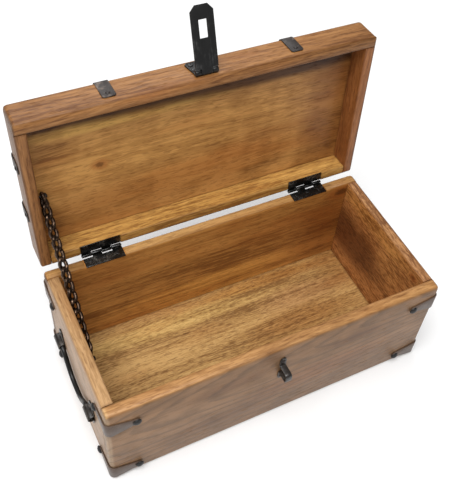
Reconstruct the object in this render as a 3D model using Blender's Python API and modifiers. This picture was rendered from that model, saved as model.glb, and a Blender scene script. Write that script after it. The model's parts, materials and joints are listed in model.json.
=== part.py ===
"""Small wooden treasure chest with iron fittings, its lid open on a stay chain.

Metres, +Z up, front towards -Y, origin in the middle of the underside.
The lid and all that it carries are laid out shut, then turned open about the hinge pins.
"""

import math
from dataclasses import dataclass

import bmesh
import bpy
from mathutils import Matrix, Vector

# Fits
SEAT_GAP = 0.0003
RIM_GAP = 0.0006
WELD = 0.00001

# Box
LENGTH = 0.305
DEPTH = 0.1495
BOX_HEIGHT = 0.1053
LONG_WALL = 0.0105
END_WALL = 0.0105
FLOOR_THICKNESS = 0.0055
OUTER_ROUND = 0.0035
RIM_ROUND = 0.001
ROUND_SEGMENTS = 3

# Lid
LID_HEIGHT = 0.0265
LID_FRONT_RAIL = 0.0104
LID_BACK_RAIL = 0.009
LID_END_WALL = 0.0093
LID_PANEL = 0.0085
LID_OPEN_DEG = 93.5

# Hinges
HINGE_LENGTH = 0.035
HINGE_INSET = 0.052
HINGE_SHEET = 0.0008
HINGE_PIN_RADIUS = 0.0007
HINGE_PIN_PROUD = 0.0005
PIN_SOFT_SHARE = 0.4
HINGE_AXIS_OUT = 0.0016
HINGE_OVERHANG = 0.0006
HINGE_SLOT = 0.0013
HINGE_SWAGE_RADIUS = 0.0009
HINGE_ROLL_DEG = 285.0
HINGE_KNUCKLES = 4
MORTISE_PLAY = 0.0008

# Hasp and staple
HASP_X = -0.0018
HASP_SHEET = 0.0012
HASP_PIN_RADIUS = 0.001
HASP_RISE = 0.0044
HASP_LEAF_TOP = 0.0215
HASP_LEAF_WIDTH = 0.0235
HASP_LEAF_CORNER = 0.002
HASP_KNUCKLE_WIDTH = 0.019
HASP_MIDDLE_KNUCKLE = 0.0095
HASP_KNUCKLE_RELIEF = 0.0006
HASP_ROLL_DEG = 272.0
HASP_OPEN_DEG = 105.8
STRAP_LENGTH = 0.051
STRAP_WIDTH = 0.0188
STRAP_TIP_WIDTH = 0.0104
STRAP_TIP_LENGTH = 0.0047
SLOT_CENTRE = 0.0331
SLOT_LENGTH = 0.0141
SLOT_WIDTH = 0.0067
STAPLE_SIDE_PLAY = 0.0005
STAPLE_END_PLAY = 0.0021
STAPLE_PROJECTION = 0.013
STAPLE_FOOT = 0.0095
STAPLE_FOOT_BEND = 0.0012
STAPLE_NOSE_BEND = 0.0022

# Handles
BAIL_RADIUS = 0.0022
BAIL_WALL_CLEARANCE = 0.0006
BAIL_DROP = 0.019
BAIL_END_PROUD = 0.001
HANDLE_SPREAD = 0.074
HANDLE_HEIGHT = 0.053
CLIP_SHEET = 0.001
CLIP_WIDTH = 0.0135
CLIP_TIP_WIDTH = 0.008
CLIP_TAB = 0.0115
CLIP_BEND = 0.0013

# Corner brackets
BRACKET_SHEET = 0.001
BRACKET_LEG = 0.027
BRACKET_HEIGHT = 0.0164
BRACKET_TIP = 0.007
BRACKET_LOW = 0.0108
BRACKET_BELOW_RIM = 0.0196

# Lid bands and end straps
BAND_SHEET = 0.0008
BAND_WIDTH = 0.011
BAND_INSET = 0.0735
BAND_FOOT = 0.0045
BAND_CORNER = 0.0015
END_STRAP_WIDTH = 0.010
END_STRAP_INSET = 0.0495
END_STRAP_FOOT = 0.009
END_STRAP_REACH = 0.030

# Stay chain
CHAIN_LINKS = 16
CHAIN_LID_LINKS = 7
LINK_WIRE_RADIUS = 0.00095
LINK_HALF_WIDTH = 0.00255
LINK_END_TURN_DEG = 45.0
CHAIN_WALL_CLEARANCE = 0.0003
CHAIN_FROM_FRONT = 0.0794
CHAIN_LID_FROM_FRONT = 0.0846
CHAIN_LID_RISE = 0.0134
CHAIN_BOX_HEIGHT = 0.061
SCREW_RADIUS = 0.0012
SCREW_HEAD_RADIUS = 0.0025
SCREW_HEAD_HEIGHT = 0.0019
SCREW_HEAD_PLAY = 0.0009
SCREW_BITE = 0.006

# Fineness of the curved pieces
BEND_STEP_DEG = 22.5
TURN_STEPS = 14
LINK_END_STEPS = 7
LINK_SIDE_STEPS = 3
BAIL_STEPS = 22
BAIL_FINENESS = 3
LINK_FINENESS = 1
TIP_DEGREES = (15, 45, 90)
DOME_DEGREES = (60, 30, 0)
FLAT_FACING = 0.9

HALF_TURN = math.pi
QUARTER_TURN = math.pi / 2

# Places that follow from the sizes above
LID_BOTTOM = BOX_HEIGHT + RIM_GAP
LID_TOP = LID_BOTTOM + LID_HEIGHT
BRACKET_HIGH = BOX_HEIGHT - BRACKET_BELOW_RIM
FRONT = -DEPTH / 2
BACK = DEPTH / 2
HINGE_BORE = HINGE_PIN_RADIUS + SEAT_GAP
HINGE_BARREL = HINGE_BORE + HINGE_SHEET
HINGE_AXIS = Vector((0, BACK + HINGE_AXIS_OUT, BOX_HEIGHT + RIM_GAP / 2))
HASP_BORE = HASP_PIN_RADIUS + SEAT_GAP
HASP_BARREL = HASP_BORE + HASP_SHEET
HASP_AXIS = Vector((HASP_X, FRONT - SEAT_GAP - HASP_BARREL, LID_BOTTOM + HASP_RISE))
BAIL_OFFSET = LENGTH / 2 + BAIL_RADIUS + BAIL_WALL_CLEARANCE
CHAIN_OFFSET = LINK_HALF_WIDTH + LINK_WIRE_RADIUS + CHAIN_WALL_CLEARANCE
CHAIN_X = -LENGTH / 2 + END_WALL + CHAIN_OFFSET

SIDES = {
    "left": ("X", -1),
    "right": ("X", 1),
    "front": ("Y", -1),
    "back": ("Y", 1),
    "bottom": ("Z", -1),
    "top": ("Z", 1),
}


@dataclass
class Run:
    """A piece of a strip's middle line: its length and the angle it turns through, left positive."""

    length: float
    turn: float = 0.0


@dataclass
class Carrier:
    """What a piece is fixed to: an empty on a joint's axis, and that axis's place with the lid shut."""

    empty: bpy.types.Object
    shut: Vector


def clear_scene():
    """Remove whatever the start-up scene holds."""
    for old in list(bpy.data.objects):
        bpy.data.objects.remove(old)


def make_collection(name):
    """Make a collection in the scene."""
    collection = bpy.data.collections.new(name)
    bpy.context.scene.collection.children.link(collection)
    return collection


def make_material(name, colour, roughness, metallic):
    """Make a plain material."""
    material = bpy.data.materials.new(name)
    material.use_nodes = True
    material.diffuse_color = (*colour, 1.0)
    shader = material.node_tree.nodes["Principled BSDF"]
    shader.inputs["Base Color"].default_value = (*colour, 1.0)
    shader.inputs["Roughness"].default_value = roughness
    shader.inputs["Metallic"].default_value = metallic
    return material


clear_scene()
PARTS = make_collection("treasure_chest")
CUTTERS = make_collection("cutters")
WOOD = make_material("honey_wood", (0.36, 0.19, 0.085), 0.5, 0.0)
FLOOR_WOOD = make_material("pale_wood", (0.46, 0.27, 0.12), 0.5, 0.0)
IRON = make_material("black_iron", (0.02, 0.02, 0.022), 0.35, 1.0)
BRONZE = make_material("dark_bronze", (0.10, 0.075, 0.05), 0.4, 1.0)


def make_carrier(name, shut, parent, axis, degrees):
    """Put an empty on a joint's axis, turned to the stored pose."""
    empty = bpy.data.objects.new(name, None)
    PARTS.objects.link(empty)
    if parent:
        empty.parent = parent.empty
        empty.location = shut - parent.shut
    else:
        empty.location = shut
    empty.rotation_euler["XYZ".index(axis)] = math.radians(degrees)
    return Carrier(empty, shut)


def add_piece(name, mesh, material, carrier):
    """Turn a mesh that was laid out shut into a named piece on its carrier."""
    mesh.name = name
    mesh.transform(Matrix.Translation(-carrier.shut))
    mesh.materials.append(material)
    piece = bpy.data.objects.new(name, mesh)
    PARTS.objects.link(piece)
    piece.parent = carrier.empty
    return piece


def smooth(mesh):
    """Shade a round piece smoothly."""
    for face in mesh.polygons:
        face.use_smooth = True


def block_mesh(low, high, weights):
    """Make a block between two corners; weights gives the share of rounding for pairs of sides."""
    block = bmesh.new()
    bmesh.ops.create_cube(block, size=1.0)
    layer = block.edges.layers.float.new("bevel_weight_edge")
    for edge in block.edges:
        middle = (edge.verts[0].co + edge.verts[1].co) / 2
        touched = []
        for side, (axis, sign) in SIDES.items():
            if middle["XYZ".index(axis)] * sign > 0:
                touched.append(side)
        edge[layer] = weights.get(frozenset(touched), 0.0)
    centre = (Vector(low) + Vector(high)) / 2
    size = Vector(high) - Vector(low)
    for vertex in block.verts:
        vertex.co = centre + vertex.co * size
    mesh = bpy.data.meshes.new("block")
    block.to_mesh(mesh)
    block.free()
    return mesh


def board(name, low, high, wide, narrow, material, carrier):
    """Make a plank whose listed edges are rounded over, widely or narrowly."""
    weights = {frozenset(pair.split()): 1.0 for pair in wide}
    weights.update({frozenset(pair.split()): RIM_ROUND / OUTER_ROUND for pair in narrow})
    plank = add_piece(name, block_mesh(low, high, weights), material, carrier)
    rounding = plank.modifiers.new("rounding", "BEVEL")
    rounding.limit_method = "WEIGHT"
    rounding.width = OUTER_ROUND
    rounding.segments = ROUND_SEGMENTS
    plank.modifiers.new("facets", "TRIANGULATE")
    return plank


def cut(piece, cutter):
    """Take a cutter's shape out of a piece."""
    CUTTERS.objects.link(cutter)
    PARTS.objects.unlink(cutter)
    cutter.hide_render = True
    cutter.display_type = "WIRE"
    recess = piece.modifiers.new(cutter.name, "BOOLEAN")
    recess.operation = "DIFFERENCE"
    recess.solver = "EXACT"
    recess.object = cutter


def curve_mesh(curve):
    """Turn a curve into a closed mesh with its seams welded."""
    holder = bpy.data.objects.new("holder", curve)
    mesh = bpy.data.meshes.new_from_object(holder)
    bpy.data.objects.remove(holder)
    solid = bmesh.new()
    solid.from_mesh(mesh)
    bmesh.ops.remove_doubles(solid, verts=solid.verts, dist=WELD)
    return mesh, solid


def close_up(mesh, solid):
    """Face a solid outwards and write it back to its mesh."""
    bmesh.ops.recalc_face_normals(solid, faces=solid.faces)
    if solid.calc_volume(signed=True) < 0:
        bmesh.ops.reverse_faces(solid, faces=solid.faces)
    solid.to_mesh(mesh)
    solid.free()
    return mesh


def tube(name, points, radius, fineness, closed, material, carrier):
    """Make a round rod or ring along a line of points."""
    curve = bpy.data.curves.new(name, "CURVE")
    curve.dimensions = "3D"
    curve.bevel_depth = radius
    curve.bevel_resolution = fineness
    curve.use_fill_caps = not closed
    spline = curve.splines.new("POLY")
    spline.points.add(len(points) - 1)
    for place, point in zip(spline.points, points):
        place.co = (*point, 1.0)
    spline.use_cyclic_u = closed
    mesh = close_up(*curve_mesh(curve))
    smooth(mesh)
    return add_piece(name, mesh, material, carrier)


def turned(name, profile, centre, material, carrier):
    """Turn a profile of (radius, distance along +X) round a line parallel to X."""
    mesh = bpy.data.meshes.new(name)
    points = [(radius, 0.0, along) for radius, along in profile]
    edges = [(step, step + 1) for step in range(len(points) - 1)]
    mesh.from_pydata(points, edges, [])
    mesh.materials.append(material)
    piece = bpy.data.objects.new(name, mesh)
    PARTS.objects.link(piece)
    piece.parent = carrier.empty
    piece.location = Vector(centre) - carrier.shut
    piece.rotation_euler = (0, QUARTER_TURN, 0)
    lathe = piece.modifiers.new("lathe", "SCREW")
    lathe.angle = 2 * HALF_TURN
    lathe.steps = TURN_STEPS
    lathe.render_steps = TURN_STEPS
    lathe.use_merge_vertices = True
    lathe.merge_threshold = WELD
    lathe.use_smooth_shade = True
    return piece


def bend(radius, degrees):
    """An arc of a strip's middle line."""
    turn = math.radians(degrees)
    return Run(radius * abs(turn), turn)


def follow(runs, start, heading, along):
    """Point and left-hand normal on a strip's middle line, at a distance from its start."""
    u, v = start
    for run in runs:
        step = along if run is runs[-1] else min(along, run.length)
        turned_by = run.turn * step / run.length
        if run.turn:
            radius = run.length / run.turn
            u += radius * (math.sin(heading + turned_by) - math.sin(heading))
            v += radius * (math.cos(heading) - math.cos(heading + turned_by))
        else:
            u += step * math.cos(heading)
            v += step * math.sin(heading)
        heading += turned_by
        along -= step
        if along <= 0:
            break
    return (u, v), (-math.sin(heading), math.cos(heading))


def fold_lines(runs):
    """Distances at which a strip needs a crease to follow its arcs."""
    lines = []
    begin = 0.0
    for run in runs:
        creases = math.ceil(abs(run.turn) / math.radians(BEND_STEP_DEG) - WELD) if run.turn else 1
        lines.extend(begin + run.length * crease / creases for crease in range(1, creases + 1))
        begin += run.length
    return lines[:-1]


def merge_between_folds(solid):
    """Join the triangles of a flat strip's two faces into one face between each pair of folds."""
    spare = []
    for edge in solid.edges:
        flat = all(abs(face.normal.z) > FLAT_FACING for face in edge.link_faces)
        if flat and abs(edge.verts[0].co.x - edge.verts[1].co.x) > WELD / 10:
            spare.append(edge)
    bmesh.ops.dissolve_edges(solid, edges=spare, use_verts=True)


def strip(name, outlines, sheet, runs, start, heading, axes, material, carrier):
    """Sheet iron: flat outlines of (along, across), bent along straight runs and arcs.

    The first outline is the edge, the others are holes. The axes are the origin of the
    bending plane, its two directions and the direction across the strip.
    """
    curve = bpy.data.curves.new(name, "CURVE")
    curve.dimensions = "2D"
    curve.fill_mode = "BOTH"
    curve.extrude = sheet / 2
    for outline in outlines:
        spline = curve.splines.new("POLY")
        spline.points.add(len(outline) - 1)
        for place, (along, across) in zip(spline.points, outline):
            place.co = (along, across, 0.0, 1.0)
        spline.use_cyclic_u = True
    mesh, solid = curve_mesh(curve)
    for line in fold_lines(runs):
        everything = solid.verts[:] + solid.edges[:] + solid.faces[:]
        bmesh.ops.bisect_plane(
            solid, geom=everything, dist=WELD / 10, plane_co=(line, 0, 0), plane_no=(1, 0, 0)
        )
    if len(outlines) == 1:
        merge_between_folds(solid)
    origin, u_way, v_way, across_way = (Vector(axis) for axis in axes)
    for vertex in solid.verts:
        (u, v), (u_normal, v_normal) = follow(runs, start, heading, vertex.co.x)
        u += u_normal * vertex.co.z
        v += v_normal * vertex.co.z
        vertex.co = origin + u_way * u + v_way * v + across_way * vertex.co.y
    return add_piece(name, close_up(mesh, solid), material, carrier)


def mirrored(half):
    """Close a strip's outline from its points on one side of its middle line."""
    return list(half) + [(along, -across) for along, across in reversed(half)]


def length_of(runs):
    """Length of a strip's middle line."""
    return sum(run.length for run in runs)


def both_ends(half, total):
    """Carry the points of one end of a strip over to its other end."""
    return list(half) + [(total - along, across) for along, across in reversed(half)]


def round_tip(width):
    """One side of a half-round strip end."""
    radius = width / 2
    angles = [math.radians(degrees) for degrees in TIP_DEGREES]
    return [(radius - radius * math.cos(angle), radius * math.sin(angle)) for angle in angles]


def clipped_tip(width, corner):
    """One side of a strip end with its corner clipped."""
    return [(0.0, width / 2 - corner), (corner, width / 2)]


def make_box(box):
    """The five boards of the box; the long boards run through at the corners."""
    end = LENGTH / 2
    inner_end = end - END_WALL - SEAT_GAP
    inner_long = BACK - LONG_WALL - SEAT_GAP
    ends = ("left top", "right top", "left bottom", "right bottom")
    board(
        "box_front",
        (-end, FRONT, 0),
        (end, FRONT + LONG_WALL, BOX_HEIGHT),
        ("front top", "front bottom", "front left", "front right", *ends),
        ("back top",),
        WOOD,
        box,
    )
    back = board(
        "box_back",
        (-end, BACK - LONG_WALL, 0),
        (end, BACK, BOX_HEIGHT),
        ("back top", "back bottom", "back left", "back right", *ends),
        ("front top",),
        WOOD,
        box,
    )
    left = board(
        "box_left_end",
        (-end, -inner_long, 0),
        (-end + END_WALL, inner_long, BOX_HEIGHT),
        ("left top", "left bottom"),
        ("right top",),
        WOOD,
        box,
    )
    board(
        "box_right_end",
        (end - END_WALL, -inner_long, 0),
        (end, inner_long, BOX_HEIGHT),
        ("right top", "right bottom"),
        ("left top",),
        WOOD,
        box,
    )
    board(
        "box_floor",
        (-inner_end, -inner_long, 0),
        (inner_end, inner_long, FLOOR_THICKNESS),
        (),
        (),
        FLOOR_WOOD,
        box,
    )
    return back, left


def make_lid(lid):
    """The five boards of the lid; its front rail runs through in front, its ends at the back."""
    end = LENGTH / 2
    inner_end = end - LID_END_WALL - SEAT_GAP
    behind_rail = FRONT + LID_FRONT_RAIL + SEAT_GAP
    left = board(
        "lid_left_end",
        (-end, behind_rail, LID_BOTTOM),
        (-end + LID_END_WALL, BACK, LID_TOP),
        ("left top", "back left", "back top"),
        ("left bottom", "right bottom", "back bottom"),
        WOOD,
        lid,
    )
    board(
        "lid_right_end",
        (end - LID_END_WALL, behind_rail, LID_BOTTOM),
        (end, BACK, LID_TOP),
        ("right top", "back right", "back top"),
        ("left bottom", "right bottom", "back bottom"),
        WOOD,
        lid,
    )
    board(
        "lid_front_rail",
        (-end, FRONT, LID_BOTTOM),
        (end, FRONT + LID_FRONT_RAIL, LID_TOP),
        ("front top", "front left", "front right", "left top", "right top"),
        ("front bottom", "back bottom", "left bottom", "right bottom"),
        WOOD,
        lid,
    )
    back = board(
        "lid_back_rail",
        (-inner_end, BACK - LID_BACK_RAIL, LID_BOTTOM),
        (inner_end, BACK, LID_TOP),
        ("back top",),
        ("front bottom", "back bottom"),
        WOOD,
        lid,
    )
    board(
        "lid_top_panel",
        (-inner_end, behind_rail, LID_TOP - LID_PANEL),
        (inner_end, BACK - LID_BACK_RAIL - SEAT_GAP, LID_TOP),
        (),
        (),
        WOOD,
        lid,
    )
    return back, left


def mortise(piece, name, centre, low, high, wall, carrier):
    """Let a hinge leaf into a rim, right through the wall."""
    half = HINGE_LENGTH / 2 + MORTISE_PLAY
    cutter_low = (centre - half, BACK - 2 * wall, low)
    cutter_high = (centre + half, BACK + wall, high)
    mesh = block_mesh(cutter_low, cutter_high, {})
    cut(piece, add_piece(name, mesh, WOOD, carrier))


def hinge_outline(root, end, own):
    """Plate with two fingers, left where the other leaf's knuckles are."""
    half = HINGE_LENGTH / 2
    pitch = HINGE_LENGTH / HINGE_KNUCKLES
    points = [(0.0, -half)]
    for knuckle in range(HINGE_KNUCKLES):
        low = -half + knuckle * pitch
        high = low + pitch
        first = knuckle == 0
        last = knuckle == HINGE_KNUCKLES - 1
        inner_low = low if first else low + SEAT_GAP / 2
        inner_high = high if last else high - SEAT_GAP / 2
        if knuckle % 2 != own:
            if first or last:
                points.append((root, low if first else high))
            continue
        if not first:
            points.append((root, inner_low))
        points.extend([(end, inner_low), (end, inner_high)])
        if not last:
            points.append((root, inner_high))
    points.append((0.0, half))
    return points


def hinge_leaf(name, centre, wall, own, upward, carrier):
    """A leaf with a swaged plate and two knuckles rolled round the pin."""
    roll = HINGE_BORE + HINGE_SHEET / 2
    drop = RIM_GAP / 2 + HINGE_SHEET / 2
    reach = HINGE_AXIS_OUT + wall + HINGE_OVERHANG
    between = roll + HINGE_SWAGE_RADIUS
    swage = math.degrees(math.acos((drop + HINGE_SWAGE_RADIUS) / between))
    swage_at = between * math.sin(math.radians(swage))
    runs = [
        Run(reach - swage_at),
        bend(HINGE_SWAGE_RADIUS, -swage),
        bend(roll, HINGE_ROLL_DEG),
    ]
    outline = hinge_outline(reach - HINGE_BARREL - HINGE_SLOT, length_of(runs), own)
    origin = HINGE_AXIS + Vector((centre, 0, 0))
    axes = (origin, (0, 1, 0), (0, 0, upward), (1, 0, 0))
    strip(name, [outline], HINGE_SHEET, runs, (-reach, -drop), 0.0, axes, IRON, carrier)


def pin_profile(radius, length):
    """A rod with softened ends, from one end to the other."""
    half = length / 2
    soft = radius * PIN_SOFT_SHARE
    return [
        (0.0, half),
        (radius - soft, half),
        (radius, half - soft),
        (radius, soft - half),
        (radius - soft, -half),
        (0.0, -half),
    ]


def make_hinges(box, lid, box_back, lid_back):
    """Two butt hinges let into the rims."""
    depth = HINGE_SHEET + SEAT_GAP
    for side, sign in (("left", -1), ("right", 1)):
        centre = sign * (LENGTH / 2 - HINGE_INSET)
        name = f"hinge_{side}"
        hinge_leaf(f"{name}_box_leaf", centre, LONG_WALL, 1, 1, box)
        hinge_leaf(f"{name}_lid_leaf", centre, LID_BACK_RAIL, 0, -1, lid)
        length = HINGE_LENGTH + 2 * HINGE_PIN_PROUD
        profile = pin_profile(HINGE_PIN_RADIUS, length)
        turned(f"{name}_pin", profile, HINGE_AXIS + Vector((centre, 0, 0)), IRON, box)
        floor = BOX_HEIGHT - depth
        mortise(box_back, f"{name}_box_cutter", centre, floor, LID_BOTTOM, LONG_WALL, box)
        roof = LID_BOTTOM + depth
        mortise(lid_back, f"{name}_lid_cutter", centre, BOX_HEIGHT, roof, LID_BACK_RAIL, lid)


def make_hasp(lid, hasp):
    """Fixed leaf, pin and slotted strap; leaf and strap lie in one plane when shut."""
    roll = HASP_BORE + HASP_SHEET / 2
    root = HASP_BARREL + HASP_KNUCKLE_RELIEF
    start = -HASP_BARREL + HASP_SHEET / 2
    half_knuckle = HASP_KNUCKLE_WIDTH / 2
    half_middle = HASP_MIDDLE_KNUCKLE / 2

    drop = HASP_LEAF_TOP - HASP_RISE
    runs = [Run(drop), bend(roll, HASP_ROLL_DEG)]
    half = clipped_tip(HASP_LEAF_WIDTH, HASP_LEAF_CORNER)
    half += [
        (drop - root, half_knuckle),
        (length_of(runs), half_knuckle),
        (length_of(runs), half_middle + SEAT_GAP),
        (drop - root, half_middle + SEAT_GAP),
    ]
    axes = (HASP_AXIS, (0, 0, -1), (0, -1, 0), (1, 0, 0))
    strip("hasp_leaf", [mirrored(half)], HASP_SHEET, runs, (-drop, start), 0.0, axes, IRON, lid)

    profile = pin_profile(HASP_PIN_RADIUS, HASP_KNUCKLE_WIDTH)
    turned("hasp_pin", profile, HASP_AXIS, IRON, lid)

    runs = [Run(STRAP_LENGTH), bend(roll, HASP_ROLL_DEG)]
    half = [
        (0.0, STRAP_TIP_WIDTH / 2),
        (STRAP_TIP_LENGTH, STRAP_WIDTH / 2),
        (STRAP_LENGTH - root, half_knuckle),
        (STRAP_LENGTH - root, half_middle),
        (length_of(runs), half_middle),
    ]
    slot_tip = STRAP_LENGTH - SLOT_CENTRE - SLOT_LENGTH / 2
    slot = [(slot_tip, SLOT_WIDTH / 2), (slot_tip + SLOT_LENGTH, SLOT_WIDTH / 2)]
    axes = (HASP_AXIS, (0, 0, 1), (0, -1, 0), (1, 0, 0))
    outlines = [mirrored(half), mirrored(slot)]
    strip("hasp_strap", outlines, HASP_SHEET, runs, (-STRAP_LENGTH, start), 0.0, axes, IRON, hasp)


def make_staple(box):
    """A strap bent into a loop that stands through the hasp's slot."""
    width = SLOT_WIDTH - 2 * STAPLE_SIDE_PLAY
    height = SLOT_LENGTH - 2 * STAPLE_END_PLAY - HASP_SHEET
    seat = SEAT_GAP + HASP_SHEET / 2
    rise = STAPLE_PROJECTION - HASP_SHEET / 2 - seat
    leg = Run(rise - STAPLE_FOOT_BEND - STAPLE_NOSE_BEND)
    runs = [
        Run(STAPLE_FOOT),
        bend(STAPLE_FOOT_BEND, 90),
        leg,
        bend(STAPLE_NOSE_BEND, -90),
        Run(height - 2 * STAPLE_NOSE_BEND),
        bend(STAPLE_NOSE_BEND, -90),
        Run(leg.length),
        bend(STAPLE_FOOT_BEND, 90),
        Run(STAPLE_FOOT),
    ]
    outline = mirrored(both_ends(round_tip(width), length_of(runs)))
    begin = -height / 2 - STAPLE_FOOT_BEND - STAPLE_FOOT
    axes = ((HASP_X, FRONT, HASP_AXIS.z - SLOT_CENTRE), (0, 0, 1), (0, -1, 0), (1, 0, 0))
    strip("hasp_staple", [outline], HASP_SHEET, runs, (begin, seat), 0.0, axes, IRON, box)


def bail_points(side):
    """Middle line of a bail: straight ends in the clips, and a bow between them."""
    half = HANDLE_SPREAD / 2
    bow = half - CLIP_WIDTH / 2 - SEAT_GAP
    tip = half + CLIP_WIDTH / 2 + BAIL_END_PROUD
    points = [(side * BAIL_OFFSET, -tip, HANDLE_HEIGHT)]
    for step in range(BAIL_STEPS + 1):
        across = bow * (2 * step / BAIL_STEPS - 1)
        hang = BAIL_DROP * (1 - abs(across / bow) ** 3) ** 2
        points.append((side * BAIL_OFFSET, across, HANDLE_HEIGHT - hang))
    points.append((side * BAIL_OFFSET, tip, HANDLE_HEIGHT))
    return points


def make_handle(name, side, box, carrier):
    """A bail that swings in two clips on the end of the box."""
    tube(f"handle_{name}_bail", bail_points(side), BAIL_RADIUS, BAIL_FINENESS, False, IRON, carrier)
    hump = BAIL_RADIUS + SEAT_GAP + CLIP_SHEET / 2
    seat = SEAT_GAP + CLIP_SHEET / 2
    centre = BAIL_OFFSET - LENGTH / 2
    between = hump + CLIP_BEND
    lean = math.asin((centre - seat - CLIP_BEND) / between)
    turn = 90 + math.degrees(lean)
    begin = between * math.cos(lean)
    runs = [
        Run(CLIP_TAB),
        bend(CLIP_BEND, turn),
        bend(hump, -2 * turn),
        bend(CLIP_BEND, turn),
        Run(CLIP_TAB),
    ]
    total = length_of(runs)
    half = round_tip(CLIP_TIP_WIDTH) + [(CLIP_TAB, CLIP_WIDTH / 2)]
    outline = mirrored(both_ends(half, total))
    for place, sign in (("front", -1), ("rear", 1)):
        origin = (side * LENGTH / 2, sign * HANDLE_SPREAD / 2, HANDLE_HEIGHT)
        axes = (origin, (0, 0, 1), (side, 0, 0), (0, 1, 0))
        start = (-begin - CLIP_TAB, seat)
        clip = f"handle_{name}_{place}_clip"
        strip(clip, [outline], CLIP_SHEET, runs, start, 0.0, axes, IRON, box)


def make_brackets(box):
    """Eight corner brackets, tapered to round nailed tips."""
    radius = OUTER_ROUND + SEAT_GAP + BRACKET_SHEET / 2
    leg = Run(BRACKET_LEG - OUTER_ROUND)
    runs = [leg, bend(radius, -90), Run(leg.length)]
    total = length_of(runs)
    half = round_tip(BRACKET_TIP) + [(leg.length, BRACKET_HEIGHT / 2)]
    outline = mirrored(both_ends(half, total))
    start = (-BRACKET_LEG, SEAT_GAP + BRACKET_SHEET / 2)
    for end, end_sign in (("left", -1), ("right", 1)):
        for face, face_sign in (("front", -1), ("back", 1)):
            for level, height in (("low", BRACKET_LOW), ("high", BRACKET_HIGH)):
                corner = (end_sign * LENGTH / 2, face_sign * DEPTH / 2, height)
                axes = (corner, (end_sign, 0, 0), (0, face_sign, 0), (0, 0, 1))
                name = f"bracket_{face}_{end}_{level}"
                strip(name, [outline], BRACKET_SHEET, runs, start, 0.0, axes, IRON, box)


def make_bands(lid):
    """Two bands over the lid, and two straps bent over each of its ends."""
    radius = OUTER_ROUND + SEAT_GAP + BAND_SHEET / 2
    seat = SEAT_GAP + BAND_SHEET / 2
    top = LID_TOP - OUTER_ROUND
    foot = Run(top - LID_BOTTOM - BAND_FOOT)
    over = bend(radius, -90)
    across = Run(DEPTH - 2 * OUTER_ROUND)
    runs = [foot, over, across, bend(radius, -90), Run(foot.length)]
    outline = mirrored(both_ends(clipped_tip(BAND_WIDTH, BAND_CORNER), length_of(runs)))
    start = (FRONT - seat, LID_BOTTOM + BAND_FOOT)
    for side, sign in (("left", -1), ("right", 1)):
        origin = (sign * (LENGTH / 2 - BAND_INSET), 0, 0)
        axes = (origin, (0, 1, 0), (0, 0, 1), (1, 0, 0))
        name = f"lid_band_{side}"
        strip(name, [outline], BAND_SHEET, runs, start, QUARTER_TURN, axes, IRON, lid)

    foot = Run(top - LID_BOTTOM - END_STRAP_FOOT)
    runs = [foot, over, Run(END_STRAP_REACH - OUTER_ROUND)]
    outline = mirrored(both_ends(clipped_tip(END_STRAP_WIDTH, BAND_CORNER), length_of(runs)))
    start = (-LENGTH / 2 - seat, LID_BOTTOM + END_STRAP_FOOT)
    for side, sign in (("left", -1), ("right", 1)):
        for place, place_sign in (("front", -1), ("rear", 1)):
            origin = (0, place_sign * (DEPTH / 2 - END_STRAP_INSET), 0)
            axes = (origin, (-sign, 0, 0), (0, 0, 1), (0, 1, 0))
            name = f"lid_end_strap_{side}_{place}"
            strip(name, [outline], BAND_SHEET, runs, start, QUARTER_TURN, axes, IRON, lid)


def link_points(centre, along, half_length, first_turn, last_turn):
    """A ring of wire whose straight sides are twisted, so that its two ends are turned apart."""
    wide = Vector((1, 0, 0))
    deep = along.cross(wide)
    straight = half_length - LINK_HALF_WIDTH
    flat = []
    for end in (1, -1):
        for step in range(LINK_END_STEPS + 1):
            angle = HALF_TURN * step / LINK_END_STEPS
            reach = end * (straight + LINK_HALF_WIDTH * math.sin(angle))
            flat.append((reach, end * LINK_HALF_WIDTH * math.cos(angle)))
        for step in range(1, LINK_SIDE_STEPS):
            flat.append((end * straight * (1 - 2 * step / LINK_SIDE_STEPS), -end * LINK_HALF_WIDTH))
    points = []
    for reach, aside in flat:
        share = min(max((reach / straight + 1) / 2, 0.0), 1.0)
        turn = math.radians(first_turn + (last_turn - first_turn) * share)
        points.append(centre + along * reach + (wide * math.cos(turn) + deep * math.sin(turn)) * aside)
    return points


def screw_profile(reach):
    """A round-headed screw that starts inside the wall and ends in a dome clear of the chain."""
    tip = -reach - SCREW_BITE
    under = LINK_WIRE_RADIUS + SCREW_HEAD_PLAY
    dome = [(0.0, under + SCREW_HEAD_HEIGHT)]
    for degrees in DOME_DEGREES:
        angle = math.radians(degrees)
        height = under + SCREW_HEAD_HEIGHT * math.sin(angle)
        dome.append((SCREW_HEAD_RADIUS * math.cos(angle), height))
    shank = [(SCREW_RADIUS, under), (SCREW_RADIUS, tip + SCREW_RADIUS), (0.0, tip)]
    return dome + shank


def screw_hole(piece, name, centre, reach, carrier):
    """Bore a wall for a screw."""
    bottom = -reach - SCREW_BITE - SEAT_GAP
    mouth = 0.0
    radius = SCREW_RADIUS + SEAT_GAP
    profile = [(0.0, mouth), (radius, mouth), (radius, bottom), (0.0, bottom)]
    cut(piece, turned(name, profile, centre, WOOD, carrier))


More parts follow.
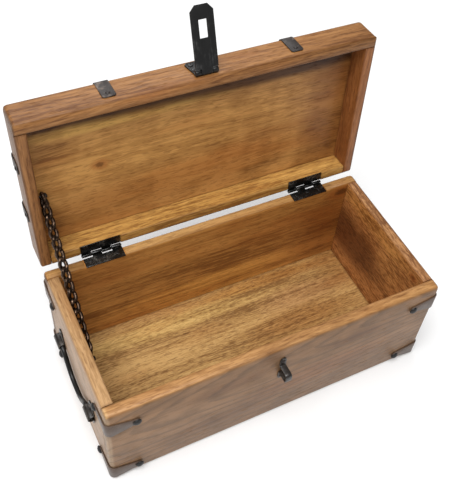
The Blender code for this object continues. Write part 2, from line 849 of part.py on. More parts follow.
def make_chain(box, lid, box_left, lid_left):
    """Curb chain between a screw in the lid's end and a screw in the box's end."""
    box_screw = Vector((CHAIN_X, FRONT + CHAIN_FROM_FRONT, CHAIN_BOX_HEIGHT))
    lid_screw = Vector((CHAIN_X, FRONT + CHAIN_LID_FROM_FRONT, LID_BOTTOM + CHAIN_LID_RISE))
    lid_reach = CHAIN_OFFSET + END_WALL - LID_END_WALL
    turned("chain_box_screw", screw_profile(CHAIN_OFFSET), box_screw, IRON, box)
    turned("chain_lid_screw", screw_profile(lid_reach), lid_screw, IRON, lid)
    screw_hole(box_left, "box_screw_cutter", box_screw, CHAIN_OFFSET, box)
    screw_hole(lid_left, "lid_screw_cutter", lid_screw, lid_reach, lid)

    opening = Matrix.Rotation(-math.radians(LID_OPEN_DEG), 4, "X")
    raised = HINGE_AXIS + opening @ (lid_screw - HINGE_AXIS)
    along = (raised - box_screw).normalized()
    seat = SCREW_RADIUS + SEAT_GAP + LINK_WIRE_RADIUS
    overlap = 2 * LINK_WIRE_RADIUS + SEAT_GAP
    pitch = ((raised - box_screw).length + 2 * seat - overlap) / CHAIN_LINKS
    half_length = (pitch + overlap) / 2
    turn = LINK_END_TURN_DEG
    for number in range(CHAIN_LINKS):
        centre = box_screw + along * (half_length - seat + number * pitch)
        first = 2 * turn if number == 0 else -turn
        last = -2 * turn if number == CHAIN_LINKS - 1 else turn
        points = link_points(centre, along, half_length, first, last)
        carrier = lid if number >= CHAIN_LINKS - CHAIN_LID_LINKS else box
        if carrier is lid:
            shut = opening.inverted()
            points = [HINGE_AXIS + shut @ (point - HINGE_AXIS) for point in points]
        name = f"chain_link_{number + 1:02d}"
        tube(name, points, LINK_WIRE_RADIUS, LINK_FINENESS, True, BRONZE, carrier)


def main():
    """Build the chest."""
    box = make_carrier("box_carrier", Vector((0, 0, 0)), None, "X", 0)
    lid = make_carrier("lid_carrier", HINGE_AXIS, box, "X", -LID_OPEN_DEG)
    hasp = make_carrier("hasp_carrier", HASP_AXIS, lid, "X", -HASP_OPEN_DEG)
    box_back, box_left = make_box(box)
    lid_back, lid_left = make_lid(lid)
    make_hinges(box, lid, box_back, lid_back)
    make_hasp(lid, hasp)
    make_staple(box)
    make_brackets(box)
    make_bands(lid)
    for name, side in (("left", -1), ("right", 1)):
        pivot = Vector((side * BAIL_OFFSET, 0, HANDLE_HEIGHT))
        swing = make_carrier(f"handle_{name}_carrier", pivot, box, "Y", 0)
        make_handle(name, side, box, swing)
    make_chain(box, lid, box_left, lid_left)


main()
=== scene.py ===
"""Looks of a small wooden treasure chest that stands open on its stay chain.

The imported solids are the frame. Boards, iron and chain are made again from them, the iron with eased edges
and the chain with rounder wire. Each board gets its own wood, and nails and screws go in.
Metres, +Z up, front towards -Y. Lid pieces are laid out shut and then turned open.
"""

import json
import logging
import math
from collections.abc import Callable
from dataclasses import dataclass
from enum import Enum
from itertools import product

import bmesh
import bpy
from mathutils import Matrix, Vector


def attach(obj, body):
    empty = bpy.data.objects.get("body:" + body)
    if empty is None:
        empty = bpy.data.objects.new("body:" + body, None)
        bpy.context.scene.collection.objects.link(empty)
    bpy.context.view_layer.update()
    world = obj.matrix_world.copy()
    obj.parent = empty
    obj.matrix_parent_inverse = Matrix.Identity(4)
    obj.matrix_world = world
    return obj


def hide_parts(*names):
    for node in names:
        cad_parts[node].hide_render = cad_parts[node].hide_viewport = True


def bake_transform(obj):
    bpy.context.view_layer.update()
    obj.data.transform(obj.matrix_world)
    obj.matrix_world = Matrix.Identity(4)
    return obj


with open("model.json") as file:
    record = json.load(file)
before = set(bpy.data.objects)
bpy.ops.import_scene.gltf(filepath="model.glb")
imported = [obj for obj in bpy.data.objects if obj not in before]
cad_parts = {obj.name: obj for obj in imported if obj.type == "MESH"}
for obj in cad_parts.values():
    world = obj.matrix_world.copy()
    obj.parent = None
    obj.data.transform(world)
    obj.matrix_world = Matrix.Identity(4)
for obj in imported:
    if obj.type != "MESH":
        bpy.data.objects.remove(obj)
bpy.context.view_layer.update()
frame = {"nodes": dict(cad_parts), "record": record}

LOG = logging.getLogger("chest")
Material = bpy.types.Material
Piece = bpy.types.Object
Colour = tuple[float, float, float]
Place = tuple[float, float, float]
Span = tuple[float, float]

HALF_LENGTH = 0.1525
HALF_DEPTH = 0.07475
BOX_RIM = 0.1053
LID_RIM = 0.1059
LID_TOP = 0.1324

SIDES = (("left", -1), ("right", 1))
FACES = (("front", -1), ("back", 1))
PARTS = (("front", -1), ("rear", 1))
ROWS = (("low", -1), ("high", 1))


def tint(*screen: int) -> Colour:
    """Turn a screen colour, 0 to 255 for each channel, into the light values that shaders take."""
    shares = [value / 255 for value in screen]
    return tuple(s / 12.92 if s <= 0.04045 else ((s + 0.055) / 1.055) ** 2.4 for s in shares)


def scaled(colour: Colour, share: float) -> Colour:
    """Give a colour with every channel multiplied."""
    return tuple(channel * share for channel in colour)


class Body(Enum):
    """The moving bodies that pieces ride on."""

    BOX = "box"
    LID = "lid"
    HASP = "hasp"
    HANDLE_LEFT = "handle_left"
    HANDLE_RIGHT = "handle_right"


class Slot(Enum):
    """The finishes that the record names."""

    HONEY_WOOD = "honey_wood"
    PALE_WOOD = "pale_wood"
    BLACK_IRON = "black_iron"
    DARK_BRONZE = "dark_bronze"


class Grain(Enum):
    """The direction of a board's fibres, and the order of axes that puts it first."""

    LONG = (0, 1, 2)
    DEEP = (1, 0, 2)


class Blend(Enum):
    """How two colours are put together."""

    MIX = "MIX"
    TINT = "MULTIPLY"


class Pick(Enum):
    """What an edit-mode selection is made of."""

    EDGES = "EDGE"
    FACES = "FACE"


# ---- frames


@dataclass(frozen=True)
class LidSwing:
    """The turn that takes a shut lid to the open rest pose."""

    pin: Vector
    degrees: float

    @classmethod
    def from_record(cls) -> "LidSwing":
        """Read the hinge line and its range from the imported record."""
        hinge = next(j for j in frame["record"]["behaviour"]["joints"] if j["name"] == "lid_hinge")
        return cls(Vector(hinge["pos_m"]), max(abs(d) for d in hinge["range_deg"]))

    def opening(self) -> Matrix:
        """Give the matrix from the shut lid to the open one."""
        turn = Matrix.Rotation(-math.radians(self.degrees), 4, "X")
        return Matrix.Translation(self.pin) @ turn @ Matrix.Translation(-self.pin)

    def frame_of(self, body: Body) -> Matrix:
        """Give the matrix from a body's squared-up layout to its place at rest."""
        return self.opening() if body in (Body.LID, Body.HASP) else Matrix.Identity(4)


SWING = LidSwing.from_record()


# ---- shaders


class Wire:
    """A value in a shader. Arithmetic on it adds Math nodes."""

    def __init__(self, sheet: "Sheet", socket: bpy.types.NodeSocket) -> None:
        """Keep the socket and the sheet that it belongs to."""
        self.sheet = sheet
        self.socket = socket

    def calc(self, operation: str, *values: "Wire | float") -> "Wire":
        """Add one Math node with its inputs in order, and give its result."""
        node = self.sheet.add("Math", {"operation": operation}, dict(enumerate(values)))
        return Wire(self.sheet, node.outputs[0])

    def __add__(self, other: "Wire | float") -> "Wire":
        """Add."""
        return self.calc("ADD", self, other)

    def __radd__(self, other: float) -> "Wire":
        """Add to a number."""
        return self.calc("ADD", other, self)

    def __sub__(self, other: "Wire | float") -> "Wire":
        """Subtract."""
        return self.calc("SUBTRACT", self, other)

    def __rsub__(self, other: float) -> "Wire":
        """Subtract from a number."""
        return self.calc("SUBTRACT", other, self)

    def __mul__(self, other: "Wire | float") -> "Wire":
        """Multiply."""
        return self.calc("MULTIPLY", self, other)

    def __rmul__(self, other: float) -> "Wire":
        """Multiply a number."""
        return self.calc("MULTIPLY", other, self)

    def __truediv__(self, other: "Wire | float") -> "Wire":
        """Divide."""
        return self.calc("DIVIDE", self, other)

    def __rtruediv__(self, other: float) -> "Wire":
        """Divide a number."""
        return self.calc("DIVIDE", other, self)

    def __pow__(self, power: "Wire | float") -> "Wire":
        """Raise to a power."""
        return self.calc("POWER", self, power)

    def __mod__(self, other: "Wire | float") -> "Wire":
        """Keep what is left over from whole steps."""
        return self.calc("FLOORED_MODULO", self, other)

    def least(self, other: "Wire | float") -> "Wire":
        """Give the smaller value."""
        return self.calc("MINIMUM", self, other)

    def most(self, other: "Wire | float") -> "Wire":
        """Give the larger value."""
        return self.calc("MAXIMUM", self, other)

    def rise(self, low: float, high: float) -> "Wire":
        """Step softly from 0 to 1.

        Args:
            low: The value that gives 0.
            high: The value that gives 1. It may lie below low.

        Returns:
            The soft step.
        """
        settings = {"interpolation_type": "SMOOTHSTEP"}
        given = {"Value": self, "From Min": min(low, high), "From Max": max(low, high)}
        given |= {"To Min": 0.0, "To Max": 1.0} if low < high else {"To Min": 1.0, "To Max": 0.0}
        return Wire(self.sheet, self.sheet.add("MapRange", settings, given).outputs["Result"])

    def hump(self, rise: Span, fall: Span) -> "Wire":
        """Step softly up over one span and down over another."""
        return self.rise(*rise) * self.rise(*fall)


@dataclass(frozen=True)
class Layer:
    """One noise of a finish: its waves per metre, its shift, its finer layers and their strength."""

    scale: Place
    shift: float
    detail: float = 3.0
    rough: float = 0.55


class Sheet:
    """The node tree of one material, with the coordinates that its finish is laid out in."""

    def __init__(self, name: str, body: Body = Body.BOX) -> None:
        """Start a material that holds its output, one main shader and a point's coordinates.

        Args:
            name: The material's name.
            body: The body whose squared-up layout the coordinates follow.
        """
        self.material = bpy.data.materials.new(name)
        self.material.use_nodes = True
        self.tree = self.material.node_tree
        self.tree.nodes.clear()
        self.shader = self.add("BsdfPrincipled")
        output = self.add("OutputMaterial")
        self.tree.links.new(self.shader.outputs["BSDF"], output.inputs["Surface"])
        back = SWING.frame_of(body).inverted()
        mapping = {"Vector": Wire(self, self.add("TexCoord").outputs["Object"]),
                   "Location": tuple(back.to_translation()), "Rotation": tuple(back.to_euler())}
        mapped = Wire(self, self.add("Mapping", {"vector_type": "POINT"}, mapping).outputs["Vector"])
        parts = self.add("SeparateXYZ", None, {"Vector": mapped}).outputs
        self.place = tuple(Wire(self, part) for part in parts)

    def add(self, kind: str, settings: dict | None = None, inputs: dict | None = None) -> bpy.types.Node:
        """Add a node.

        Args:
            kind: The node's type, without its common first part.
            settings: The node's own settings, set before its sockets.
            inputs: Values or wires, by socket name or number.

        Returns:
            The new node.
        """
        node = self.tree.nodes.new("ShaderNode" + kind)
        for key, value in (settings or {}).items():
            setattr(node, key, value)
        for key, value in (inputs or {}).items():
            self.feed(node.inputs[key], value)
        return node

    def feed(self, socket: bpy.types.NodeSocket, value: Wire | float | tuple) -> None:
        """Put a value into a socket.

        Args:
            socket: The socket.
            value: A wire, a number, a vector or a colour.
        """
        if isinstance(value, Wire):
            self.tree.links.new(value.socket, socket)
        elif socket.type == "RGBA" and len(value) == 3:
            socket.default_value = (*value, 1.0)
        else:
            socket.default_value = value

    def dress(self, **inputs: Wire | float | tuple) -> Material:
        """Set the main shader's sockets.

        Args:
            inputs: Values or wires by socket name, with underscores for spaces.

        Returns:
            The finished material.
        """
        for key, value in inputs.items():
            self.feed(self.shader.inputs[key.replace("_", " ")], value)
        return self.material

    def noise(self, point: tuple[Wire, ...], layer: Layer, seed: float = 0.0, finer: float = 1.0) -> Wire:
        """Add a noise that may be stretched.

        Args:
            point: The coordinates.
            layer: Its scale, shift and detail.
            seed: A further shift that makes it unlike others of its kind.
            finer: How many times finer than its layer it is.

        Returns:
            The noise, about 0.5 on average.
        """
        shift = seed + layer.shift
        axes = [p * (s * finer) + shift * (n + 1) for n, (p, s) in enumerate(zip(point, layer.scale))]
        spot = Wire(self, self.add("CombineXYZ", None, dict(enumerate(axes))).outputs[0])
        given = {"Vector": spot, "Scale": 1.0, "Detail": layer.detail, "Roughness": layer.rough}
        return Wire(self, self.add("TexNoise", {"noise_dimensions": "3D"}, given).outputs[0])

    def mix(self, first: Wire | Colour, second: Wire | Colour, share: Wire, blend: Blend = Blend.MIX) -> Wire:
        """Mix two colours, with a share that says how much of the second."""
        settings = {"data_type": "RGBA", "clamp_factor": True, "blend_type": blend.value}
        return Wire(self, self.add("Mix", settings, {0: share, 6: first, 7: second}).outputs[2])

    def bump(self, height: Wire, distance: float, strength: float) -> Wire:
        """Turn heights, of which 1 stands for a distance in metres, into a normal."""
        given = {"Height": height, "Distance": distance, "Strength": strength}
        return Wire(self, self.add("Bump", None, given).outputs["Normal"])


# ---- finishes


@dataclass(frozen=True)
class Knot:
    """A knot in a board: its middle in the board's layout, and its size along and across the grain."""

    middle: Place
    along: float
    across: float
    dark: float = 0.8


@dataclass(frozen=True)
class Patch:
    """A soft patch, streak or painted shade on a board: its middle, half sizes along and across the grain,
    and its tone.
    """

    middle: Place
    along: float
    across: float
    tone: Colour
    show: float = 0.8
    ragged: float = 0.8

    @classmethod
    def on_face(cls, axis: int, level: float, *rows: tuple) -> "tuple[Patch, ...]":
        """Make the patches that lie on one face of a board.

        Args:
            axis: The axis that the face stands across.
            level: Where on that axis the face lies.
            rows: For each patch its place on the two other axes, and then the fields after the middle.

        Returns:
            The patches.
        """
        patches = []
        for first, second, *rest in rows:
            middle = [first, second]
            middle.insert(axis, level)
            patches.append(cls(tuple(middle), *rest))
        return tuple(patches)


@dataclass(frozen=True)
class WoodFinish:
    """Oiled wood of one board, as if sawn from a log whose middle runs beside it.

    The fields differ from board to board. The constants are shared: noises, tones as multiples of the base
    colour, strengths, and lengths in metres.
    """

    base: Colour
    # outside: the outer faces' colour, partly a duller tone of the wood and partly painted shade for the
    # weaker light on them
    outside: Colour = (0.168, 0.085, 0.036)
    grain: Grain = Grain.LONG
    heart: tuple[float, float] = (0.03, -0.05)
    lean: tuple[float, float] = (0.02, 0.05)
    ring: float = 0.0042
    ring_show: float = 0.14
    streak_show: float = 1.0
    dash_show: float = 0.7
    dash_fine: float = 1.0
    figure_show: float = 0.3
    blotch_show: float = 0.35
    red_show: float = 0.35
    pore_show: float = 0.35
    line_show: float = 0.55
    seed: float = 0.0
    knots: tuple[Knot, ...] = ()
    patches: tuple[Patch, ...] = ()
    outer: tuple[tuple[int, float], ...] = ()
    rim: Colour | None = None

    DRIFT = Layer((7.0, 22.0, 22.0), 1.3, 2.0)
    FINE = Layer((10.0, 300.0, 300.0), 4.1, 4.0, 0.62)
    BAND = Layer((2.6, 62.0, 62.0), 9.7, 3.0, 0.5)
    BLUSH = Layer((8.0, 36.0, 36.0), 14.2, 3.0, 0.6)
    BLOTCH = Layer((38.0, 52.0, 52.0), 17.5)
    FIGURE = Layer((34.0, 9.0, 9.0), 19.1, 2.0, 0.5)
    FIBRE = Layer((60.0, 950.0, 950.0), 21.0, 2.0, 0.6)
    DASH = Layer((105.0, 620.0, 620.0), 23.3, 2.0, 0.6)
    PORES = Layer((130.0, 760.0, 760.0), 25.4, 1.0)
    KNOT_RAGS = Layer((420.0, 420.0, 420.0), 31.0)

    PALE_TONE = (1.34, 1.42, 1.55)
    DARK_TONE = (0.50, 0.42, 0.36)
    RED_TONE = (0.94, 0.68, 0.52)
    PORE_TONE = (0.42, 0.34, 0.28)
    EDGE_TONE = (0.40, 0.32, 0.26)
    KNOT_RIM_TONE = (0.80, 0.52, 0.40)
    KNOT_CORE_TONE = (0.26, 0.20, 0.16)

    BAND_PULL, FINE_PULL, FIBRE_PULL, DASH_PULL = 1.7, 1.4, 0.9, 1.7
    LATE_WOOD = ((0.25, 0.86), (1.0, 0.90))
    RING_LINE = ((0.55, 0.90), (1.0, 0.93))
    RING_SWAY = (0.016, 0.010)
    FLOW_SWAY = 0.012
    KNOT_BOW = (0.006, 0.005)
    KNOT_WIDEN = 3.0
    SKIN = (0.0018, 0.0004)
    RIM_SKIN = (0.0010, 0.0002)
    EDGE_WIDTH, EDGE_SHOW = 0.0022, 0.45
    ROUGH, RELIEF = 0.48, 0.00022

    def shade(self, tone: Colour) -> Colour:
        """Give the base colour with each channel multiplied by a tone's."""
        return tuple(channel * share for channel, share in zip(self.base, tone))

    def material(self, name: str, body: Body, low: Vector, high: Vector) -> Material:
        """Make the board's material.

        Args:
            name: The material's name.
            body: The body that the board rides on.
            low: The board's lowest corner in that body's layout.
            high: Its highest corner there.

        Returns:
            The material.
        """
        sheet = Sheet(name, body)
        point = tuple(sheet.place[axis] for axis in self.grain.value)
        along, across, deep = point
        near = self.knot_nearness(sheet)

        drift = sheet.noise(point, self.DRIFT, self.seed) - 0.5
        side = across - self.heart[0] + along * self.lean[0] + drift * self.RING_SWAY[0]
        depth = deep - self.heart[1] + along * self.lean[1] + drift * self.RING_SWAY[1]
        radius = (side * side + depth * depth) ** 0.5 + near * self.KNOT_BOW[0]
        flow = (along, across + drift * self.FLOW_SWAY + near * self.KNOT_BOW[1], deep)
        fine, band, blush, fibre = (sheet.noise(flow, layer, self.seed)
                                    for layer in (self.FINE, self.BAND, self.BLUSH, self.FIBRE))
        blotch, figure = (sheet.noise(point, layer, self.seed) for layer in (self.BLOTCH, self.FIGURE))
        dash = sheet.noise(flow, self.DASH, self.seed, self.dash_fine)
        pores = sheet.noise(flow, self.PORES, self.seed, self.dash_fine).rise(0.57, 0.68)
        phase = (radius / self.ring + (fine - 0.5) * 0.5) % 1.0
        late = phase.hump(*self.LATE_WOOD)

        tone = (band - 0.5) * self.BAND_PULL + (fine - 0.5) * self.FINE_PULL + (fibre - 0.5) * self.FIBRE_PULL
        tone = tone * self.streak_show + (dash - 0.5) * (self.DASH_PULL * self.dash_show)
        tone = tone + (figure - 0.5) * self.figure_show
        tone = tone + (late - 0.4) * self.ring_show + (blotch - 0.5) * self.blotch_show
        colour = sheet.mix(self.shade(self.PALE_TONE), self.base, tone.rise(-0.42, 0.02))
        colour = sheet.mix(colour, self.shade(self.DARK_TONE), tone.rise(0.0, 0.55))
        colour = sheet.mix(colour, self.shade(self.RED_TONE), blush.rise(0.48, 0.72) * self.red_show)
        colour = sheet.mix(colour, self.shade(self.PORE_TONE), pores * self.pore_show)
        colour = self.lay_knots(sheet, colour)
        # Outer faces take the outside colour: partly a duller tone of the wood, partly painted shade for the
        # weaker light there.
        skin = self.outer_share(sheet)
        if skin is not None:
            dusk = sheet.mix(scaled(self.outside, 1.20), scaled(self.outside, 0.80),
                             (tone * 0.4 + (blotch - 0.5) * 1.9).rise(-0.5, 0.5))
            line = phase.hump(*self.RING_LINE) * self.line_show
            dusk = sheet.mix(dusk, scaled(self.outside, 0.5), line)
            colour = sheet.mix(colour, dusk, skin)
        colour = self.lay_patches(sheet, band + fine - 1.0, colour)
        # The rim's top face is tinted by the rim colour, greyer than the rest of the board.
        if self.rim:
            worn = sheet.place[2].rise(*(BOX_RIM - depth for depth in self.RIM_SKIN))
            colour = sheet.mix(colour, self.rim, worn, Blend.TINT)
        edge = self.edge_distance(sheet, low, high) + (blotch - 0.5) * 0.0024 + (fine - 0.5) * 0.0012
        worn = edge.rise(self.EDGE_WIDTH, 0.0) * self.EDGE_SHOW
        colour = sheet.mix(colour, self.shade(self.EDGE_TONE), worn)

        rough = self.ROUGH + (fine - 0.5) * 0.16 + pores * 0.2 - late * 0.05
        height = fine * 0.35 + fibre * 0.4 - pores * 0.8 - late * 0.15
        normal = sheet.bump(height, self.RELIEF, 0.5)
        return sheet.dress(Base_Color=colour, Roughness=rough, Normal=normal, Specular_IOR_Level=0.3,
                           Coat_Weight=0.05, Coat_Roughness=0.32)

    def knot_nearness(self, sheet: Sheet) -> Wire | float:
        """Give how near a point is to a knot, 1 at its middle, for the rings to bow round it."""
        return sum(self.reach(sheet, knot, self.KNOT_WIDEN).rise(1.0, 0.0) for knot in self.knots)

    def reach(self, sheet: Sheet, spot: Knot | Patch, widen: float = 1.0) -> Wire:
        """Give the distance from a knot's or a patch's middle, 1 at its rim.

        Args:
            sheet: The material's nodes.
            spot: The knot or patch.
            widen: How many times wider than its rim 1 lies.

        Returns:
            The distance.
        """
        total: Wire | float = 0.0
        for axis, size in zip(self.grain.value, (spot.along, spot.across, spot.across)):
            offset = (sheet.place[axis] - spot.middle[axis]) / (size * widen)
            total = offset * offset + total
        return total ** 0.5

    def lay_patches(self, sheet: Sheet, ragged: Wire, colour: Wire) -> Wire:
        """Tint a colour by the board's soft patches.

        Args:
            sheet: The material's nodes.
            ragged: What breaks up the patches' rims.
            colour: The colour before.

        Returns:
            The colour with the patches.
        """
        for patch in self.patches:
            reach = self.reach(sheet, patch) + ragged * patch.ragged
            colour = sheet.mix(colour, patch.tone, reach.rise(1.4, 0.4) * patch.show, Blend.TINT)
        return colour

    def lay_knots(self, sheet: Sheet, colour: Wire) -> Wire:
        """Paint each knot's dark middle and its reddish surround over a colour.

        Args:
            sheet: The material's nodes.
            colour: The colour before.

        Returns:
            The colour with the knots.
        """
        for knot in self.knots:
            ragged = (sheet.noise(sheet.place, self.KNOT_RAGS, self.seed) - 0.5) * 0.7
            reach = self.reach(sheet, knot) + ragged
            colour = sheet.mix(colour, self.shade(self.KNOT_RIM_TONE), reach.rise(2.6, 0.9) * 0.6)
            colour = sheet.mix(colour, self.shade(self.KNOT_CORE_TONE), reach.rise(1.1, 0.5) * knot.dark)
        return colour

    def outer_share(self, sheet: Sheet) -> Wire | None:
        """Tell the board's outer faces, whose colour is partly painted shade, from its other ones.

        Args:
            sheet: The material's nodes.

        Returns:
            1 on outer faces and 0 elsewhere, or None where the board has none.
        """
        share = None
        for axis, level in self.outer:
            outside = sheet.place[axis] * math.copysign(1.0, level)
            one = outside.rise(*(abs(level) - depth for depth in self.SKIN))
            share = one if share is None else (share + one).least(1.0)
        return share

    def edge_distance(self, sheet: Sheet, low: Vector, high: Vector) -> Wire:
        """Give a surface point's distance from the board's nearest edge, the middle one of three."""
        one, two, three = ((p - a).least(b - p) for p, a, b in zip(sheet.place, low, high))
        return one.least(two).most(one.most(two).least(three))


@dataclass(frozen=True)
class IronFinish:
    """Black-painted iron, worn grey in places by rubbing; some pieces' pale colours are painted reflection
    and glints.
    """

    name: str
    paint: Colour = tint(22, 22, 24)
    rubbed_and_glint: Colour = tint(74, 72, 72)
    rough: float = 0.40
    rub_and_glint_show: float = 0.4
    brush: Place = (160.0, 160.0, 160.0)
    metallic: float = 0.25
    gloss: float = 0.5
    bump: float = 0.35
    seed: float = 0.0

    PATCH = Layer((95.0, 95.0, 95.0), 2.0, 5.0, 0.6)
    GRIT = Layer((1500.0, 1500.0, 1500.0), 8.0, 2.0)
    RELIEF = 0.0003

    def material(self) -> Material:
        """Make the material.

        Returns:
            The material.
        """
        sheet = Sheet(self.name)
        layers = (self.PATCH, Layer(self.brush, 5.0, 4.0, 0.65), self.GRIT)
        patch, brush, grit = (sheet.noise(sheet.place, layer, self.seed) for layer in layers)
        # Pale spots: wear, and on the hinges partly painted glints.
        rub = (patch * 0.6 + brush * 0.4).rise(0.50, 0.72) * self.rub_and_glint_show
        colour = sheet.mix(self.paint, self.rubbed_and_glint, rub)
        colour = sheet.mix(colour, scaled(self.paint, 0.5), grit.rise(0.58, 0.75) * 0.6)
        rough = self.rough + (grit - 0.5) * 0.25 + (brush - 0.5) * 0.2
        normal = sheet.bump(patch * 0.7 + grit * 0.3 + brush * 0.3, self.RELIEF, self.bump)
        return sheet.dress(Base_Color=colour, Roughness=rough, Normal=normal,
                           Metallic=rub * self.metallic, Specular_IOR_Level=self.gloss)


@dataclass(frozen=True)
class BronzeFinish:
    """Darkened bronze wire that shines where links rub."""

    name: str = "dark_bronze"
    dark: Colour = tint(54, 41, 32)
    bright: Colour = tint(142, 114, 92)
    rough: float = 0.36

    PATCH = Layer((380.0, 380.0, 380.0), 1.0, 4.0, 0.6)
    GRIT = Layer((2600.0, 2600.0, 2600.0), 3.0, 2.0)
    RELIEF = 0.0001

    def material(self) -> Material:
        """Make the material.

        Returns:
            The material.
        """
        sheet = Sheet(self.name)
        patch, grit = (sheet.noise(sheet.place, layer) for layer in (self.PATCH, self.GRIT))
        colour = sheet.mix(self.dark, self.bright, patch.rise(0.50, 0.70) * 0.7)
        rough = self.rough + (grit - 0.5) * 0.3
        normal = sheet.bump(patch * 0.5 + grit * 0.5, self.RELIEF, 0.4)
        return sheet.dress(Base_Color=colour, Roughness=rough, Normal=normal, Metallic=0.85)


@dataclass(frozen=True)
class FloorFinish:
    """Plain pale paper that the chest stands on."""

    name: str = "pale_floor"
    paper: Colour = (0.79, 0.79, 0.79)
    glow: float = 0.11

    CLOUD = Layer((3.0, 3.0, 3.0), 0.5, 2.0)

    def material(self) -> Material:
        """Make the material.

        Returns:
            The material.
        """
        sheet = Sheet(self.name)
        paper = sheet.mix(self.paper, scaled(self.paper, 0.985), sheet.noise(sheet.place, self.CLOUD))
        return sheet.dress(Base_Color=paper, Roughness=0.9, Specular_IOR_Level=0.1,
                           Emission_Color=(1.0, 1.0, 1.0), Emission_Strength=self.glow)


# ---- modelling


def faces_up(face: bmesh.types.BMFace) -> bool:
    """Tell whether a face looks up."""
    return face.normal.z > 0.9


class Bench:
    """Edit-mode work on one piece at a time."""

    def __init__(self, piece: Piece, name: str) -> None:
        """Take a fresh piece and name it."""
        self.piece = piece
        piece.name = piece.data.name = name

    @staticmethod
    def clear() -> None:
        """Leave edit mode and deselect everything."""
        if bpy.context.object and bpy.context.object.mode != "OBJECT":
            bpy.ops.object.mode_set(mode="OBJECT")
        bpy.ops.object.select_all(action="DESELECT")

    @classmethod
    def disc(cls, name: str, radius: float, height: float, corners: int) -> "Bench":
        """Start from a low drum whose underside lies at the origin.

        Args:
            name: The piece's name.
            radius: The drum's radius.
            height: Its height.
            corners: How many sides it has.

        Returns:
            The bench with the drum on it.
        """
        cls.clear()
        bpy.ops.mesh.primitive_cylinder_add(vertices=corners, radius=radius, depth=height,
                                            location=(0, 0, height / 2))
        bpy.ops.object.transform_apply(location=True, rotation=True, scale=True)
        return cls(bpy.context.object, name)

    @classmethod
    def copy_of(cls, node: str, name: str) -> "Bench":
        """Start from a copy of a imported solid, its triangles joined up.

        Args:
            node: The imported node.
            name: The piece's name.

        Returns:
            The bench with the copy on it.
        """
        piece = bpy.data.objects.new(name, frame["nodes"][node].data.copy())
        bpy.context.scene.collection.objects.link(piece)
        piece.data.materials.clear()
        bench = cls(piece, name)
        bench.edit()
        bpy.ops.mesh.select_all(action="SELECT")
        bpy.ops.mesh.remove_doubles(threshold=0.00001)
        bpy.ops.mesh.dissolve_limited(angle_limit=math.radians(0.5))
        bench.done()
        return bench

    def hold(self) -> None:
        """Select this piece alone and make it the active one."""
        self.clear()
        self.piece.select_set(True)
        bpy.context.view_layer.objects.active = self.piece

    def edit(self) -> None:
        """Go into edit mode on this piece alone."""
        self.hold()
        bpy.ops.object.mode_set(mode="EDIT")

    def done(self) -> None:
        """Leave edit mode."""
        bpy.ops.object.mode_set(mode="OBJECT")

    def pick(self, kind: Pick, test: Callable[[bmesh.types.BMFace | bmesh.types.BMEdge], bool]) -> None:
        """Select the faces or edges that pass a test, and nothing else.

        Args:
            kind: Faces or edges.
            test: The test.
        """
        bpy.ops.mesh.select_mode(type=kind.value)
        bpy.ops.mesh.select_all(action="DESELECT")
        mesh = bmesh.from_edit_mesh(self.piece.data)
        for item in mesh.faces if kind is Pick.FACES else mesh.edges:
            item.select_set(test(item))
        bmesh.update_edit_mesh(self.piece.data)

    def apply(self, kind: str, **settings: object) -> None:
        """Add a modifier and apply it.

        Args:
            kind: The modifier's type.
            settings: Its settings.
        """
        self.hold()
        modifier = self.piece.modifiers.new(kind.title(), kind)
        for key, value in settings.items():
            setattr(modifier, key, value)
        bpy.ops.object.modifier_apply(modifier=modifier.name)

    def smooth(self, degrees: float) -> None:
        """Shade smooth except over edges sharper than an angle."""
        self.hold()
        bpy.ops.object.shade_smooth_by_angle(angle=math.radians(degrees))


@dataclass
class Fastener:
    """A nail or screw head that is modelled once and copied to each of its places."""

    name: str
    radius: float
    height: float
    material: Material
    pattern: Piece | None = None
    count: int = 0

    def model(self) -> Piece:
        """Model the head with its underside at the origin, facing up."""
        raise NotImplementedError

    def drive(self, name: str, place: Place, facing: Place, body: Body, roll: float) -> None:
        """Put a copy of the head in its place.

        Args:
            name: The piece's name.
            place: Where its underside sits, in the body's layout.
            facing: The way it faces there.
            body: The body that carries it.
            roll: Its turn about its own axis, in degrees.
        """
        if self.pattern is None:
            self.pattern = self.model()
        mesh = self.pattern.data.copy()
        turn = Vector(facing).to_track_quat("Z", "Y").to_matrix().to_4x4()
        spin = Matrix.Rotation(math.radians(roll), 4, "Z")
        mesh.transform(SWING.frame_of(body) @ Matrix.Translation(place) @ turn @ spin)
        piece = bpy.data.objects.new(name, mesh)
        mesh.name = name
        bpy.context.scene.collection.objects.link(piece)
        mesh.materials.clear()
        mesh.materials.append(self.material)
        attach(piece, body.value)
        self.count += 1
        LOG.info("%s rides on %s", name, body.value)

    def put_away(self) -> None:
        """Delete the pattern once its copies are made."""
        if self.pattern is not None:
            bpy.data.objects.remove(self.pattern)
            self.pattern = None


@dataclass
class DomedNail(Fastener):
    """A forged nail with a domed, slightly uneven head."""

    CORNERS = 14
    DOME = ((0.16, 0.30), (0.22, 0.24), (0.24, 0.12), (0.18, 0.04))
    UNEVEN = 0.035
    SHARP = 0.9

    def model(self) -> Piece:
        """Raise a dome on a thin drum in four insets, then soften it.

        Returns:
            The nail's head.
        """
        bench = Bench.disc(self.name + "_pattern", self.radius, self.height * 0.3, self.CORNERS)
        bench.edit()
        bench.pick(Pick.FACES, faces_up)
        for share, rise in self.DOME:
            bpy.ops.mesh.inset(thickness=self.radius * share, depth=self.height * rise)
        bpy.ops.mesh.select_all(action="SELECT")
        bpy.ops.transform.vertex_random(offset=self.radius * self.UNEVEN, seed=7)
        bench.pick(Pick.EDGES, lambda e: e.is_manifold and e.calc_face_angle() > self.SHARP)
        bpy.ops.mesh.bevel(offset=self.height * 0.1, segments=2)
        bench.done()
        bench.apply("SUBSURF", levels=1, render_levels=1)
        bench.smooth(60.0)
        return bench.piece


